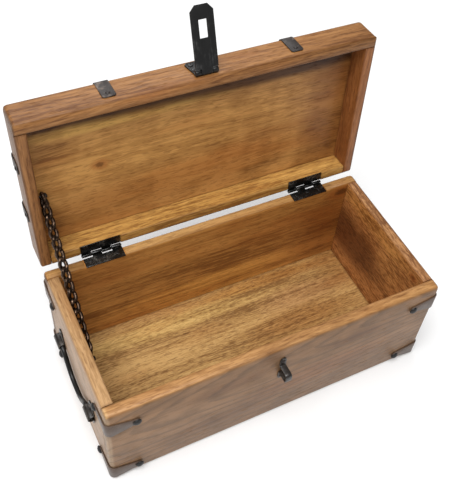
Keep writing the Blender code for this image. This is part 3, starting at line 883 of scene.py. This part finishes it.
@dataclass
class CrossScrew(Fastener):
    """A countersunk screw head with a cross recess."""

    CORNERS = 24
    ARM, REACH = 0.13, 0.62
    SUNK = 0.8

    def model(self) -> Piece:
        """Chamfer a drum, cut its top along eight lines and sink the cross between them.

        Returns:
            The screw's head.
        """
        bench = Bench.disc(self.name + "_pattern", self.radius, self.height, self.CORNERS)
        bench.edit()
        bench.pick(Pick.FACES, faces_up)
        bpy.ops.mesh.inset(thickness=self.radius * 0.16, depth=self.height * 0.25)
        arm, reach = self.radius * self.ARM, self.radius * self.REACH
        for distance, line, side in product((arm, reach), ((1, 0, 0), (0, 1, 0)), (-1, 1)):
            bench.pick(Pick.FACES, faces_up)
            bpy.ops.mesh.bisect(plane_co=[distance * side * c for c in line], plane_no=line)

        def in_cross(face: bmesh.types.BMFace) -> bool:
            """Tell whether a top face lies in the cross."""
            x, y = (abs(c) for c in face.calc_center_median().xy)
            return faces_up(face) and min(x, y) < arm and max(x, y) < reach

        bench.pick(Pick.FACES, in_cross)
        bpy.ops.mesh.extrude_region_move(TRANSFORM_OT_translate={"value": (0, 0, -self.height * self.SUNK)})
        bench.done()
        bench.smooth(35.0)
        return bench.piece


# ---- the chest


@dataclass
class Board:
    """One board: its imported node, the body that carries it and its wood."""

    node: str
    body: Body
    finish: WoodFinish
    slot: Slot = Slot.HONEY_WOOD

    def span(self) -> tuple[Vector, Vector]:
        """Measure the board in its body's layout.

        Returns:
            Its lowest and its highest corner.
        """
        back = SWING.frame_of(self.body).inverted()
        points = [back @ v.co for v in frame["nodes"][self.node].data.vertices]
        return tuple(Vector(pick(p[n] for p in points) for n in range(3)) for pick in (min, max))

    def dress(self) -> None:
        """Make the board again from its solid and give it its wood."""
        bench = Bench.copy_of(self.node, self.node + "_board")
        bench.smooth(30.0)
        wood = self.finish.material(self.node + "_wood", self.body, *self.span())
        bench.piece.data.materials.append(wood)
        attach(bench.piece, self.body.value)
        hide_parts(self.node)
        LOG.info("%s rides on %s", bench.piece.name, self.body.value)


@dataclass
class Woodwork:
    """The ten boards of the box and the lid.

    Each face is an axis and a level. The level's sign tells which way the face looks.
    """

    left_face: tuple[int, float] = (0, -HALF_LENGTH)
    right_face: tuple[int, float] = (0, HALF_LENGTH)
    front_face: tuple[int, float] = (1, -HALF_DEPTH)
    rear_face: tuple[int, float] = (1, HALF_DEPTH)
    under: tuple[int, float] = (2, -0.0)
    top: tuple[int, float] = (2, LID_TOP)

    FRONT_PATCHES = Patch.on_face(
        1, -0.0748,
        (-0.013, 0.1, 0.011, 0.010, (0.72, 0.66, 0.60), 0.8, 0.3),
        (-0.105, 0.060, 0.050, 0.022, (1.14, 1.17, 1.22), 0.9, 1.2),
        (-0.055, 0.030, 0.045, 0.007, (0.76, 0.72, 0.70), 0.9, 1.0),
        (-0.050, 0.080, 0.035, 0.008, (0.80, 0.75, 0.73), 0.9, 1.0),
        (0.040, 0.045, 0.060, 0.012, (1.05, 0.94, 0.90), 0.9, 1.0),
        (0.075, 0.078, 0.030, 0.007, (0.78, 0.72, 0.70), 0.9, 1.0),
        (0.115, 0.040, 0.040, 0.018, (1.12, 1.12, 1.13), 0.9, 1.2))
    # Painted light: the front board's end on the left face is made paler and greyer, like the left end's
    # outside colour.
    PAINTED_LIGHT_CORNER = Patch((-0.1525, -0.0695, 0.05), 0.003, 0.3, (1.5, 1.85, 2.3), 0.9, 0.1)
    BACK_PATCHES = Patch.on_face(
        1, 0.064,
        # Painted shade: the first patch darkens the back wall towards its corner with the right end.
        (0.132, 0.05, 0.045, 0.05, (0.62, 0.50, 0.42), 0.9),
        (0.085, 0.075, 0.06, 0.012, (0.78, 0.68, 0.6), 0.7),
        (-0.115, 0.085, 0.04, 0.022, (0.72, 0.62, 0.55), 0.8),
        (-0.01, 0.02, 0.09, 0.02, (1.16, 1.22, 1.1), 0.8))
    RIGHT_PATCHES = Patch.on_face(
        0, 0.142,
        # Painted shade: the first patch darkens this face towards the back corner, where shade falls.
        (0.042, 0.050, 0.056, 0.027, (0.32, 0.25, 0.24), 0.95, 0.6),
        (0.02, 0.097, 0.07, 0.010, (1.25, 1.35, 1.2), 0.9),
        (-0.02, 0.075, 0.02, 0.02, (1.12, 1.2, 1.15), 0.8))
    FLOOR_PATCHES = Patch.on_face(
        2, 0.0055,
        (-0.07, 0.0287, 0.042, 0.0007, (0.52, 0.45, 0.4), 0.9, 0.1),
        (-0.06, 0.044, 0.12, 0.011, (1.14, 1.22, 1.15), 0.9, 0.5),
        (0.055, 0.056, 0.075, 0.008, (0.82, 0.68, 0.5), 0.9, 0.4),
        (0.085, 0.026, 0.05, 0.014, (0.86, 0.78, 0.82), 0.9, 0.4),
        (0.07, 0.0, 0.06, 0.014, (0.84, 0.70, 0.58), 0.9, 0.4),
        # Painted shade: this patch darkens the floor in its back right corner.
        (0.14, 0.05, 0.03, 0.03, (0.75, 0.65, 0.55), 0.9, 0.4))
    PANEL_PATCHES = Patch.on_face(
        2, 0.1239,
        # The first two patches are a painted shadow: the dark strip that the front rail casts on the panel
        # below it.
        (-0.10, -0.0545, 0.13, 0.0085, (0.16, 0.11, 0.07), 0.95, 0.1),
        (0.06, -0.0485, 0.15, 0.0075, (0.18, 0.13, 0.09), 0.92, 0.1),
        (-0.07, -0.0435, 0.09, 0.0060, (1.25, 1.45, 1.30), 0.9, 0.5),
        (-0.03, -0.01, 0.10, 0.030, (1.10, 1.14, 1.12), 0.8, 0.8),
        (0.02, 0.032, 0.10, 0.018, (0.92, 0.80, 0.68), 0.8, 0.9),
        # Painted shade: a dark band down the panel beside the right end board.
        (0.130, 0.01, 0.030, 0.075, (0.60, 0.50, 0.42), 0.85, 0.4),
        (-0.09, 0.045, 0.06, 0.022, (0.80, 0.72, 0.66), 0.8, 0.6),
        (0.1105, 0.0244, 0.008, 0.0025, (0.70, 0.58, 0.5), 0.8, 0.3))

    def box_boards(self) -> list[Board]:
        """Choose the woods of the box.

        Returns:
            Its boards.
        """
        ends = (self.right_face, self.left_face)
        front = WoodFinish(
            (0.36, 0.177, 0.060), seed=3.0, outer=(self.front_face, self.under, *ends),
            outside=(0.236, 0.130, 0.064), heart=(-0.046, 0.0845), lean=(0.13, -0.124), ring=0.0062,
            ring_show=0.2, line_show=0.5, patches=(*self.FRONT_PATCHES, self.PAINTED_LIGHT_CORNER))
        back = WoodFinish(
            (0.476, 0.213, 0.050), seed=11.0, outer=(self.rear_face, self.under, *ends), dash_show=0.4,
            streak_show=1.2, blotch_show=0.6, rim=(0.82, 0.98, 1.40), patches=self.BACK_PATCHES,
            knots=(Knot((0.137, 0.0643, 0.096), 0.009, 0.005),))
        # The left end's outside colour is paler than the other outer faces: painted light for the brighter
        # glancing light and reflection on that end.
        left = WoodFinish(
            (0.385, 0.215, 0.09), seed=19.0, outer=(self.left_face, self.under),
            outside=(0.42, 0.272, 0.168), grain=Grain.DEEP)
        right = WoodFinish(
            (0.42, 0.175, 0.051), seed=27.0, outer=(self.right_face, self.under), grain=Grain.DEEP,
            dash_show=2.0, dash_fine=1.35, streak_show=1.3, blotch_show=1.4, pore_show=0.7, red_show=0.2,
            rim=(0.76, 0.84, 1.1), patches=self.RIGHT_PATCHES,
            knots=(Knot((0.142, -0.0516, 0.0958), 0.003, 0.0022, 0.5),))
        floor = WoodFinish(
            (0.395, 0.226, 0.077), seed=35.0, dash_show=1.15, dash_fine=1.5, streak_show=1.25,
            figure_show=0.2, pore_show=0.55, patches=self.FLOOR_PATCHES)
        return [
            Board("box_front", Body.BOX, front), Board("box_back", Body.BOX, back),
            Board("box_left_end", Body.BOX, left), Board("box_right_end", Body.BOX, right),
            Board("box_floor", Body.BOX, floor, Slot.PALE_WOOD),
        ]

    def lid_boards(self) -> list[Board]:
        """Choose the woods of the lid.

        Returns:
            Its boards.
        """
        panel = WoodFinish(
            (0.443, 0.210, 0.057), seed=43.0, outer=(self.top,), streak_show=0.9, dash_show=0.45,
            figure_show=1.4, blotch_show=1.0, patches=self.PANEL_PATCHES,
            knots=(Knot((-0.0884, -0.0022, 0.1239), 0.0042, 0.003, 0.7),))
        fore = WoodFinish(
            (0.258, 0.113, 0.034), seed=51.0, outer=(self.top, self.right_face, self.left_face),
            heart=(0.03, 0.20), lean=(0.02, 0.12), ring=0.0036, ring_show=0.22, red_show=0.5,
            streak_show=1.4, dash_show=0.5)
        rear = WoodFinish((0.48, 0.255, 0.066), seed=59.0, outer=(self.rear_face, self.top))
        left = WoodFinish(
            (0.272, 0.118, 0.037), seed=67.0, outer=(self.left_face, self.rear_face, self.top),
            outside=(0.21, 0.10, 0.040), grain=Grain.DEEP, red_show=0.5)
        right = WoodFinish(
            (0.281, 0.103, 0.028), seed=75.0, outer=(self.right_face, self.rear_face, self.top),
            grain=Grain.DEEP, red_show=0.6)
        return [
            Board("lid_top_panel", Body.LID, panel), Board("lid_front_rail", Body.LID, fore),
            Board("lid_back_rail", Body.LID, rear), Board("lid_left_end", Body.LID, left),
            Board("lid_right_end", Body.LID, right),
        ]

    def build(self) -> None:
        """Dress every board."""
        for board in self.box_boards() + self.lid_boards():
            board.dress()


class Smithy:
    """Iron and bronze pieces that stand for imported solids, with softened edges."""

    EASED = 0.00022
    CREASE = 50

    def soften(self, node: str, body: Body, material: Material) -> None:
        """Make a sheet-iron piece again with its sharp edges eased.

        Args:
            node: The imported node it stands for.
            body: The body that carries it.
            material: Its finish.
        """
        bench = Bench.copy_of(node, node + "_iron")
        bench.apply("BEVEL", width=self.EASED, segments=2, limit_method="ANGLE",
                    angle_limit=math.radians(self.CREASE), use_clamp_overlap=True)
        bench.smooth(40.0)
        self.finish(bench.piece, node, body, material, Slot.BLACK_IRON)

    def round_off(self, node: str, body: Body | None, material: Material, slot: Slot,
                  swell: float = 0.0) -> Piece:
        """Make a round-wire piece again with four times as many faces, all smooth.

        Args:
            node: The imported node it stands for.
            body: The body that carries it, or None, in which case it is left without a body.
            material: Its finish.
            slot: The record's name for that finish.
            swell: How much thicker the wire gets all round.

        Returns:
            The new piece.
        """
        bench = Bench.copy_of(node, node + "_wire")
        bench.apply("SUBSURF", levels=1, render_levels=1)
        if swell:
            bench.apply("DISPLACE", strength=swell, mid_level=0.0)
        bench.smooth(70.0)
        self.finish(bench.piece, node, body, material, slot)
        return bench.piece

    def finish(self, piece: Piece, node: str, body: Body | None, material: Material, slot: Slot) -> None:
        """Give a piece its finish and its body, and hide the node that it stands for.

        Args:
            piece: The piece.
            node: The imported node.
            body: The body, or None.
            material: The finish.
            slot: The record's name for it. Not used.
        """
        piece.data.materials.append(material)
        if body is not None:
            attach(piece, body.value)
            LOG.info("%s rides on %s", piece.name, body.value)
        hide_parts(node)


@dataclass
class IronTrim(Smithy):
    """Corner brackets, lid bands and end straps, with their nails."""

    iron: Material
    worn: Material
    nail: DomedNail
    small: DomedNail
    nail_from_corner: float = 0.024
    bracket_heights: tuple[float, float] = (0.0108, 0.0857)
    proud: float = 0.0013
    band_offset: float = 0.079
    band_nail_height: float = 0.1150
    band_proud: float = 0.0011
    strap_offset: float = 0.0245
    strap_nail_height: float = 0.1195
    strap_nail_reach: float = 0.1265
    strap_top: float = 0.1335
    long_roll: float = 37.0
    end_roll: float = 53.0

    def build(self) -> None:
        """Make the brackets, then the bands and straps of each side."""
        for (face, fy), (end, ex) in product(FACES, SIDES):
            for (level, _), height in zip(ROWS, self.bracket_heights):
                node = f"bracket_{face}_{end}_{level}"
                self.soften(node, Body.BOX, self.iron)
                spot = (ex * (HALF_LENGTH - self.nail_from_corner), fy * (HALF_DEPTH + self.proud), height)
                roll = self.long_roll * height * 1000
                self.nail.drive(node + "_nail_long", spot, (0, fy, 0), Body.BOX, roll)
                spot = (ex * (HALF_LENGTH + self.proud), fy * (HALF_DEPTH - self.nail_from_corner), height)
                roll = self.end_roll * height * 1000
                self.nail.drive(node + "_nail_end", spot, (ex, 0, 0), Body.BOX, roll)
        for end, ex in SIDES:
            node = f"lid_band_{end}"
            self.soften(node, Body.LID, self.worn)
            for face, fy in FACES:
                spot = (ex * self.band_offset, fy * (HALF_DEPTH + self.band_proud), self.band_nail_height)
                self.small.drive(f"{node}_nail_{face}", spot, (0, fy, 0), Body.LID, 20.0)
            for part, fy in PARTS:
                node = f"lid_end_strap_{end}_{part}"
                self.soften(node, Body.LID, self.worn)
                across = fy * self.strap_offset
                spot = (ex * (HALF_LENGTH + self.band_proud), across, self.strap_nail_height)
                self.small.drive(node + "_nail_side", spot, (ex, 0, 0), Body.LID, 65.0)
                spot = (ex * self.strap_nail_reach, across, self.strap_top)
                self.small.drive(node + "_nail_top", spot, (0, 0, 1), Body.LID, 15.0)


@dataclass
class Hinges(Smithy):
    """The two butt hinges and their screws."""

    iron: Material
    screw: CrossScrew
    offset: float = 0.1005
    screw_line: float = 0.0698
    screw_steps: tuple[float, ...] = (-0.0118, 0.0, 0.0118)
    screw_sink: float = 0.00055
    leaves: tuple[tuple[str, Body, float, int], ...] = (("box", Body.BOX, BOX_RIM, 1),
                                                        ("lid", Body.LID, LID_RIM, -1))

    def build(self) -> None:
        """Make each hinge's pin, then its leaves with their screws, each screw turned its own way."""
        for end, ex in SIDES:
            self.soften(f"hinge_{end}_pin", Body.BOX, self.iron)
            for leaf, body, level, up in self.leaves:
                node = f"hinge_{end}_{leaf}_leaf"
                self.soften(node, body, self.iron)
                for number, step in enumerate(self.screw_steps, 1):
                    spot = (ex * self.offset + step, self.screw_line, level - up * self.screw_sink)
                    roll = 31.0 * number + 17.0 * ex
                    self.screw.drive(f"{node}_screw_{number}", spot, (0, 0, up), body, roll)


@dataclass
class Hasp(Smithy):
    """The hasp on the lid, its slotted strap and the staple on the box."""

    iron: Material
    brushed: Material
    scuffed: Material
    screw: CrossScrew
    nail: DomedNail
    across: float = -0.0018
    columns: tuple[float, float] = (-0.0074, 0.0074)
    heights: tuple[float, float] = (0.1165, 0.1235)
    face: float = -0.07625
    screw_sink: float = 0.0003
    staple_middle: float = 0.0772
    staple_nail: float = 0.0112

    def build(self) -> None:
        """Make the four pieces, then drive the leaf's screws and the staple's nails."""
        self.soften("hasp_leaf", Body.LID, self.iron)
        self.soften("hasp_pin", Body.LID, self.iron)
        self.soften("hasp_strap", Body.HASP, self.brushed)
        self.soften("hasp_staple", Body.BOX, self.scuffed)
        front = (0, -1, 0)
        for (column, _), x in zip(SIDES, self.columns):
            for (row, _), z in zip(ROWS, self.heights):
                spot = (self.across + x, self.face + self.screw_sink, z)
                self.screw.drive(f"hasp_leaf_screw_{column}_{row}", spot, front, Body.LID, 25.0 + 4000 * z)
        for row, side in ROWS:
            spot = (self.across, self.face, self.staple_middle + side * self.staple_nail)
            self.nail.drive(f"hasp_staple_nail_{row}", spot, front, Body.BOX, 40.0 * side)


@dataclass
class Handles(Smithy):
    """The bail handles on the box's ends and the clips that hold them."""

    iron: Material
    scuffed: Material
    nail: DomedNail
    clip_spread: float = 0.037
    height: float = 0.053
    nail_step: float = 0.0105
    clip_face: float = 0.1538
    bodies: tuple[Body, Body] = (Body.HANDLE_LEFT, Body.HANDLE_RIGHT)

    def build(self) -> None:
        """Make each bail, then its clips with their nails."""
        for (end, ex), body in zip(SIDES, self.bodies):
            self.round_off(f"handle_{end}_bail", body, self.iron, Slot.BLACK_IRON)
            for part, fy in PARTS:
                node = f"handle_{end}_{part}_clip"
                self.soften(node, Body.BOX, self.scuffed)
                for row, side in ROWS:
                    spot = (ex * self.clip_face, fy * self.clip_spread, self.height + side * self.nail_step)
                    self.nail.drive(f"{node}_nail_{row}", spot, (ex, 0, 0), Body.BOX, 30.0 * side)


@dataclass
class StayChain(Smithy):
    """The chain between box and lid; the real one folds into the box as the lid shuts, but its links here
    ride on no body.
    """

    bronze: Material
    iron: Material
    links: int = 16
    swell: float = 0.0008
    foot: Place = (-0.1382, 0.0046, 0.061)
    head: Place = (-0.1382, 0.0941, 0.1711)

    def build(self) -> None:
        """Make the links, on no body, and the two screws."""
        for number in range(1, self.links + 1):
            node = f"chain_link_{number:02d}"
            piece = self.round_off(node, None, self.bronze, Slot.DARK_BRONZE, self.swell)
            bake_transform(piece)
            LOG.info("%s bends between box and lid", piece.name)
        self.soften("chain_box_screw", Body.BOX, self.iron)
        self.soften("chain_lid_screw", Body.LID, self.iron)


# ---- studio


@dataclass(frozen=True)
class SoftLight:
    """A rectangular light: where it hangs, the point it faces, its width and depth, and its power."""

    name: str
    place: Place
    aim: Place
    size: tuple[float, float]
    watts: float

    def hang(self) -> None:
        """Hang the light and turn it to its aim."""
        lamp = bpy.data.lights.new(self.name, "AREA")
        lamp.shape, lamp.energy = "RECTANGLE", self.watts
        lamp.size, lamp.size_y = self.size
        thing = bpy.data.objects.new(self.name, lamp)
        thing.location = self.place
        thing.rotation_euler = (Vector(self.aim) - Vector(self.place)).to_track_quat("-Z", "Y").to_euler()
        bpy.context.scene.collection.objects.link(thing)


@dataclass
class Studio:
    """Pale floor, soft light from above and a camera where the photograph was taken."""

    azimuth: float = -33.458
    elevation: float = 50.023
    roll: float = 8.201
    stand: Place = (-0.215242, -0.337133, 0.629493)
    focal: float = 60.447
    shift: tuple[float, float] = (-0.05978, 0.009735)
    floor_size: float = 14.0
    floor_level: float = -0.0002
    floor_rim: float = 0.4
    rim_height: float = 0.05
    sky: float = 0.20
    lights: tuple[SoftLight, ...] = (
        SoftLight("key", (-0.5, -0.5, 2.1), (0, 0, 0.1), (1.7, 1.4), 60.0),
        SoftLight("rear", (0.2, 1.7, 1.5), (0, 0.35, 0), (1.8, 1.0), 17.0))

    def lay_floor(self) -> None:
        """Lay a wide floor and turn up its far rim."""
        Bench.clear()
        bpy.ops.mesh.primitive_plane_add(size=self.floor_size, location=(0, 0, self.floor_level))
        bpy.ops.object.transform_apply(location=True, rotation=True, scale=True)
        bench = Bench(bpy.context.object, "floor")
        bench.edit()
        bpy.ops.mesh.select_all(action="SELECT")
        bpy.ops.mesh.inset(thickness=self.floor_rim)
        bench.pick(Pick.EDGES, lambda e: len(e.link_faces) == 1)
        bpy.ops.transform.translate(value=(0, 0, self.rim_height))
        bench.done()
        bench.piece.data.materials.append(FloorFinish().material())

    def light_sky(self) -> None:
        """Fill the room with a dim even light."""
        world = bpy.data.worlds.new("studio")
        world.use_nodes = True
        ground = world.node_tree.nodes["Background"]
        ground.inputs["Color"].default_value = (1.0, 1.0, 1.0, 1.0)
        ground.inputs["Strength"].default_value = self.sky
        bpy.context.scene.world = world

    def set_camera(self) -> None:
        """Stand the camera where the photograph was taken."""
        turn, tip, roll = (math.radians(a) for a in (self.azimuth, self.elevation, self.roll))
        back = Vector((math.sin(turn) * math.cos(tip), -math.cos(turn) * math.cos(tip), math.sin(tip)))
        level = Vector((0, 0, 1)).cross(back).normalized()
        over = back.cross(level)
        right = level * math.cos(roll) + over * math.sin(roll)
        up = over * math.cos(roll) - level * math.sin(roll)
        lens = bpy.data.cameras.new("photo_camera")
        lens.sensor_fit, lens.sensor_width, lens.lens = "HORIZONTAL", 36.0, self.focal
        lens.shift_x, lens.shift_y = self.shift
        lens.clip_start, lens.clip_end = 0.01, 60.0
        camera = bpy.data.objects.new("photo_camera", lens)
        camera.matrix_world = Matrix((right, up, back)).transposed().to_4x4()
        camera.location = self.stand
        bpy.context.scene.collection.objects.link(camera)
        bpy.context.scene.camera = camera

    def build(self) -> None:
        """Set up floor, light and camera."""
        bpy.context.scene.view_settings.view_transform = "Standard"
        self.lay_floor()
        self.light_sky()
        for light in self.lights:
            light.hang()
        self.set_camera()


def main() -> None:
    """Build the chest's sub-assemblies in order, then the studio."""
    logging.basicConfig(level=logging.INFO, format="%(message)s")
    iron = IronFinish("black_iron", tint(13, 12, 11), seed=1.0, gloss=0.4).material()
    # Painted glints: the hinges' pale spots stand partly for glints on their hammered faces; the strong bump
    # is real relief.
    hammered = IronFinish("hammered_iron", tint(9, 9, 8), tint(180, 174, 164), seed=2.0, rub_and_glint_show=0.22,
                          rough=0.26, brush=(620.0, 620.0, 620.0), bump=1.0, gloss=0.45).material()
    # Painted reflection: the brackets' black iron gets a pale grey-brown coat colour, standing for the white
    # surroundings its faces mirror.
    grey = IronFinish("bracket_iron", tint(88, 71, 60), tint(150, 131, 118), seed=4.0, rough=0.38,
                      gloss=0.28).material()
    worn = IronFinish("rubbed_iron", tint(42, 35, 32), tint(156, 140, 128), seed=7.0, rub_and_glint_show=0.8,
                      rough=0.45, gloss=0.4).material()
    brushed = IronFinish("brushed_iron", tint(17, 17, 17), tint(97, 97, 97), seed=13.0, rub_and_glint_show=0.5,
                         rough=0.6, brush=(900.0, 60.0, 60.0), gloss=0.32).material()
    scuffed = IronFinish("scuffed_iron", tint(36, 31, 28), tint(130, 120, 110), seed=16.0, rub_and_glint_show=0.5,
                         rough=0.32).material()
    dark_nail = IronFinish("nail_iron", tint(16, 15, 15), seed=19.0, rub_and_glint_show=0.25, rough=0.5).material()
    steel = IronFinish("screw_steel", tint(30, 30, 32), tint(170, 168, 165), seed=23.0, rub_and_glint_show=0.6,
                       rough=0.3, metallic=0.9).material()
    bronze = BronzeFinish().material()
    nail = DomedNail("bracket_nail", 0.0037, 0.0022, dark_nail)
    small = DomedNail("strap_nail", 0.0019, 0.0010, worn)
    screw = CrossScrew("hinge_screw", 0.0019, 0.0006, iron)
    bright = CrossScrew("hasp_screw", 0.0020, 0.0008, steel)

    Woodwork().build()
    IronTrim(grey, worn, nail, small).build()
    Hinges(hammered, screw).build()
    Hasp(iron, brushed, scuffed, bright, small).build()
    Handles(iron, scuffed, small).build()
    StayChain(bronze, iron).build()
    for fastener in (nail, small, screw, bright):
        fastener.put_away()
        LOG.info("%s: %d", fastener.name, fastener.count)
    Studio().build()


if __name__ == "__main__":
    main()
